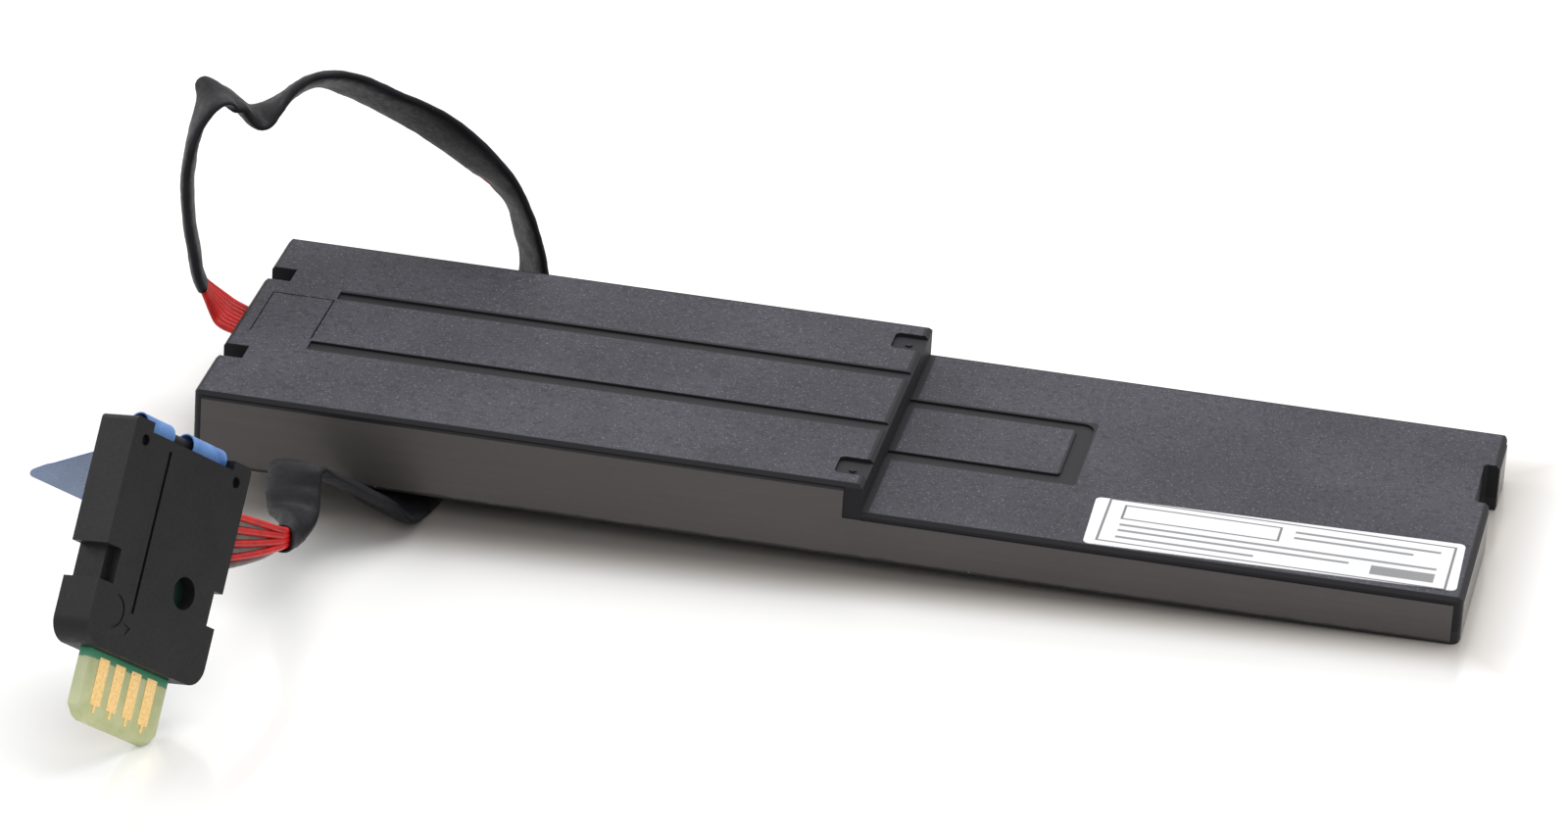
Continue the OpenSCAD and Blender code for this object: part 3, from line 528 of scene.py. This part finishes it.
# ---------------------------------------------------------------- the cable
# route of the cable: place of the middle, direction of the flat side, share of the width
ROUTE = [
    ((-2.7, 25, 13.8), (0, 1, 0), 1), ((-5.3, 24.6, 17.4), (-0.2, 0.9, -0.35), 1),
    ((-6.2, 24.6, 21.7), (-0.2, 0.9, -0.4), 1), ((-7, 25.1, 26.5), (-0.2, 0.9, -0.4), 1),
    ((-7.2, 26, 31.5), (-0.2, 0.9, -0.4), 1), ((-6.6, 27.5, 36.4), (-0.3, 0.9, -0.3), 1),
    ((-5, 29.5, 40), (-0.35, 0.85, 0.1), 1), ((-3.4, 31.5, 39.1), (-0.5, 0.8, -0.1), 1),
    ((-1.4, 33.4, 36.4), (-0.5, 0.85, 0), 1), ((0.6, 35.5, 36.6), (-0.5, 0.8, -0.3), 1),
    ((2.5, 37.4, 37.9), (-0.4, 0.7, -0.5), 1), ((4.2, 39, 38.8), (-0.4, 0.7, -0.5), 1),
    ((6.3, 40.5, 39), (-0.5, 0.7, -0.5), 1), ((8.6, 42, 38.1), (-0.6, 0.6, -0.5), 1),
    ((12, 44.5, 35.6), (-0.7, 0.6, -0.5), 1), ((18.6, 48, 30.8), (-0.7, 0.5, -0.5), 1),
    ((24.8, 51, 24.2), (-0.7, 0.6, -0.3), 1), ((27.9, 52.5, 19.2), (-0.6, 0.8, -0.1), 1),
    ((29.2, 53.2, 14.4), (-0.6, 0.8, -0.1), 1), ((29.9, 53.5, 10.4), (-0.6, 0.8, -0.1), 1),
    ((30.2, 53.6, 6.8), (-0.8, 0.6, 0), 1), ((30.1, 52.4, 3.8), (-1, 0.1, 0.2), 1),
    ((29.7, 49.4, 2.2), (-0.93, 0, 0.37), 1), ((29, 40, 2.1), (-0.92, 0, 0.385), 1),
    ((27.8, 26, 2.1), (-0.92, 0, 0.385), 1), ((26.4, 12, 2.1), (-0.92, 0, 0.385), 1),
    ((25.1, 3, 2.1), (-0.92, 0.1, 0.37), 1), ((24.4, -1.2, 2.8), (-0.94, 0.2, 0.3), 1),
    ((22.8, -3.4, 5.2), (-0.9, 0.4, 0.1), 1), ((19.4, -6.2, 8.2), (-0.8, 0.6, -0.1), 1),
    ((16.9, -9.6, 10.8), (-0.8, 0.6, -0.2), 1), ((16.4, -12.6, 11.9), (-0.9, 0.3, -0.1), 0.88),
    ((16.6, -15, 10.4), (-1, 0.1, 0), 0.82), ((17.4, -17.6, 9), (-1, 0.1, 0.1), 0.74),
    ((18.4, -21.4, 9.4), (-0.8, 0.1, 0.5), 0.54), ((19.2, -25.6, 10.5), (-0.5, 0.2, 0.8), 0.44),
    ((19.3, -30, 11.8), (0, 0.5, 0.8), 0.42), ((17.9, -35, 13.8), (0, 0.6, 0.8), 0.72),
]
SLEEVE_FROM, SLEEVE_TO = 2, 37              # stops where the sleeve starts and ends
EXIT = lean_pt((0, SLOT_Y, THICK_H - SLOT_DROP))
PLUG_IN, PLUG_OUT = (plug_pt((PLUG_W / 2 + off, PLUG_TOP - ENTRY_DROP, 0)) for off in (-ENTRY_IN, ENTRY_OUT))
PLUG_DIR = turn((0, 1, 0))
STOPS = [(EXIT, (0, 1, 0), 1)] + [(np.array(p) - MID, w, k) for p, w, k in ROUTE]
STOPS += [(PLUG_OUT, PLUG_DIR, 1), (PLUG_IN, PLUG_DIR, 1)]
STOPS = [(np.array(p, float), np.array(w, float), float(k)) for p, w, k in STOPS]
END_PART, LOOK = 0.3, 0.2                   # in stops: the straight ends, and how far heading() looks

WIRE_SIDES, WIRE_RINGS = 10, 6              # facets round a wire, and rings to each stop
WIRE_BUNCH, WIRE_LIFT = 0.45, 0.62          # how the wires close up, and rise in turn, off full width
WIRE_SHARES = (0.93, 0.985)                 # drawn share of the diameter, of even and odd wires
WIRE_REFLECTED_RED_TO = 3                             # stop up to which every wire is red, the grey ones painted red there as reflected red light
SLEEVE_SIDES, SLEEVE_RINGS = 32, 10
SLEEVE_WALL = 0.28
SLEEVE_SINK = 0.06                          # the creases' mean depth
SLEEVE_MOUTH = (0.5, 0.4)                   # how deep its two mouths are modelled, in stops
LUMP_AT, LUMP_HALF, LUMP = 17.25, 0.24, 1.7           # bulge on the inner edge, behind the case


def at(u, part):
    """A place, flat side or share of the width between the stops, on a Catmull-Rom curve."""
    i = int(math.floor(u))
    t = u - i
    a, b, c, d = (STOPS[max(0, min(len(STOPS) - 1, j))][part] for j in (i - 1, i, i + 1, i + 2))
    return 0.5 * (2 * b + (c - a) * t + (2 * a - 5 * b + 4 * c - d) * t * t
                  + (3 * b - a - 3 * c + d) * t ** 3)


def unit(v):
    return v / np.linalg.norm(v)


def heading(u):
    """The cable's direction, square to the case and to the plug at its ends."""
    if u < END_PART:
        return unit(lean_pt((-1, 0, 0)) - lean_pt((0, 0, 0)))
    if u > len(STOPS) - 1 - END_PART:
        return unit(PLUG_IN - PLUG_OUT)
    return unit(at(u + LOOK, 0) - at(u - LOOK, 0))


def section(u):
    """Middle, side direction, normal and share of the width at one place on the route."""
    f, a = heading(u), at(u, 1)
    s = unit(a - a.dot(f) * f)
    return at(u, 0), s, np.cross(f, s), at(u, 2)


def mesh_object(name, verts, faces):
    """verts in mm in the row frame."""
    mesh = bpy.data.meshes.new(name)
    mesh.from_pydata([tuple(np.asarray(v) * MM) for v in verts], [], [tuple(reversed(f)) for f in faces])
    mesh.validate()
    mesh.update()
    for poly in mesh.polygons:
        poly.use_smooth = True
    return link(bpy.data.objects.new(name, mesh))


def tube_faces(rings, around, first=0):
    return [(first + i * around + k, first + i * around + (k + 1) % around,
             first + (i + 1) * around + (k + 1) % around, first + (i + 1) * around + k)
            for i in range(rings - 1) for k in range(around)]


def circle(sides):
    return [(math.cos(a), math.sin(a)) for a in (2 * math.pi * g / sides for g in range(sides))]


def make_wires():
    """Eight insulated wires side by side, from the slot in the case to the plug's board."""
    verts, faces, greys = [], [], []
    us = [i / WIRE_RINGS for i in range(WIRE_RINGS * (len(STOPS) - 1) + 1)]
    for w in range(WIRES):
        odd = w % 2
        first, last = len(verts), (len(us) - 1) * WIRE_SIDES
        r = WIRE_D / 2 * WIRE_SHARES[odd]
        for u in us:
            p, s, n, k = section(u)
            side = (w - (WIRES - 1) / 2) * PITCH * k * (1 - WIRE_BUNCH * (1 - k))
            lift = (-1 if odd else 1) * (1 - k) * WIRE_LIFT
            c = p + s * side + n * lift
            verts += [c + s * r * cos + n * r * sin for cos, sin in circle(WIRE_SIDES)]
        new = tube_faces(len(us), WIRE_SIDES, first)
        new.append(tuple(first + g for g in reversed(range(WIRE_SIDES))))
        new.append(tuple(first + last + g for g in range(WIRE_SIDES)))
        faces += new
        # red and grey by turns, but all red at the slot, where the grey wires are painted red for the red
        # light reflected onto them
        greys += [not odd and f[0] - first > WIRE_REFLECTED_RED_TO * WIRE_RINGS * WIRE_SIDES for f in new]
    obj = mesh_object("cable_wires", verts, faces)
    for name, colour in (("wire_red", (0.55, 0.014, 0.012)), ("wire_grey", (0.15, 0.11, 0.1))):
        obj.data.materials.append(wire_material(name, colour).material)
    for poly, grey in zip(obj.data.polygons, greys):
        poly.material_index = int(grey)
    return obj, [at(u, 0) * MM for u in us]


def make_sleeve():
    """The shrink sleeve: a soft flat tube with creases at its bends and an open mouth at each end."""
    us = [SLEEVE_FROM + i / SLEEVE_RINGS for i in range(SLEEVE_RINGS * (SLEEVE_TO - SLEEVE_FROM) + 1)]

    def ring(u, inside=False):
        p, s, n, k = section(u)
        shrink = 2 * SLEEVE_WALL if inside else 0
        w, t = SLEEVE_W * k - shrink, SLEEVE_T * (2 - k) - shrink
        lump = LUMP * math.exp(-((u - LUMP_AT) / LUMP_HALF) ** 2)
        out = []
        for c, d in circle(SLEEVE_SIDES):
            # a rounded box, softer at its two edges than on its flats
            x = math.copysign(abs(c) ** 0.72, c) * w / 2
            y = math.copysign(abs(d) ** 0.8, d) * t / 2
            inner = max(0.0, c)
            q = p + s * (x + lump * inner ** 2) + n * (y + 0.5 * lump * inner * math.sin(3 * u))
            if not inside:
                v = Vector(q)
                crease = 0.1 * noise.noise(v * 0.55 + Vector((7, 3, 1))) + 0.05 * noise.noise(v * 1.7)
                q = q + unit(s * x / w + n * y / t) * (crease - SLEEVE_SINK)
            out.append(q)
        return out

    rings = [ring(us[0] + SLEEVE_MOUTH[0], True), ring(us[0], True)]
    rings += [ring(u) for u in us]
    rings += [ring(us[-1], True), ring(us[-1] - SLEEVE_MOUTH[1], True)]
    obj = mesh_object("cable_cover", [v for r in rings for v in r], tube_faces(len(rings), SLEEVE_SIDES))
    dress(obj, sleeve_material())
    return obj


# ---------------------------------------------------------------- the scene
make_camera()
make_world()
make_floor()
for lamp in LAMPS:
    make_lamp(*lamp)
bpy.context.scene.view_settings.view_transform = "Standard"

# cords
wires, wire_path = make_wires()
sleeve = make_sleeve()
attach(wires, "root")
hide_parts("ribbon_cable")
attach(sleeve, "root")
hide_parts("cable_sleeve")

# finishes of the CAD nodes; the first two nodes are hidden, under the cords that replace them
case = moulded("case_black", (0.018, 0.018, 0.019), 0.5, 2.4, 0.12, "case_place")
plug = moulded("plug_black", (0.011, 0.0108, 0.0122), 0.45, 2.2, 0.08, "plug_place")
FINISH = {
    "ribbon_cable": case, "cable_sleeve": case, "bottom_case": case,
    "top_cover": case_top_material(),
    "side_film": film_material("film_grey", (0.086, 0.077, 0.075), 0.42, False),
    # painted light: the end carries the same film as the sides, given a lighter grey for the light on the end
    # face
    "end_film": film_material("end_film_lit_grey", (0.14, 0.135, 0.13), 0.3, True),
    "rating_label": label_material(),
    "inner_ribbon": wire_material("inner_wire", (0.45, 0.03, 0.025)),
    "plug_front": plug, "plug_back": plug, "plug_board": card_material(), "plug_fingers": gold_material(),
    "pull_tab": tab_material(),
}
# node, and its material's name, colour, roughness, metal, fineness, depth of grain in mm, spread of colour
PLAIN = (
    ("cell_left", "cell_foil", (0.62, 0.63, 0.65), 0.35, 0.8, 0.5, 0.04, 0.08),
    ("cell_tape", "tape_white", (0.75, 0.74, 0.7), 0.6, 0, 1, 0.02, 0.08),
    ("cell_links", "nickel", (0.6, 0.58, 0.54), 0.35, 1, 1, 0.01, 0.1),
    ("insulator_sheet", "fish_paper", (0.6, 0.53, 0.36), 0.7, 0, 0.8, 0.03, 0.1),
    ("board", "board_green", (0.01, 0.12, 0.05), 0.35, 0, 0.8, 0.01, 0.2),
    ("board_chips", "chip_black", (0.02, 0.02, 0.022), 0.5, 0, 1.5, 0.02, 0.2),
    ("board_passives", "ceramic_tan", (0.45, 0.33, 0.2), 0.45, 0, 2, 0.01, 0.2),
    ("board_fuse", "fuse_ceramic", (0.7, 0.68, 0.62), 0.4, 0, 2, 0.01, 0.08),
    ("thermistor", "bead_brown", (0.08, 0.045, 0.03), 0.25, 0, 2, 0.01, 0.2),
    ("ribbon_joints", "solder", (0.6, 0.6, 0.62), 0.3, 1, 2, 0.02, 0.1),
    ("ribbon_clamp", "glue_cream", (0.7, 0.65, 0.54), 0.5, 0, 1, 0.03, 0.08),
)
for name, *finish in PLAIN:
    FINISH[name] = plain(*finish)
for name, other in (("exit_panel", "top_cover"), ("cell_right", "cell_left"),
                    ("board_mosfets", "board_chips"), ("plug_joints", "ribbon_joints")):
    FINISH[name] = FINISH[other]
for name, mat in FINISH.items():
    dress(NODES[name], mat)
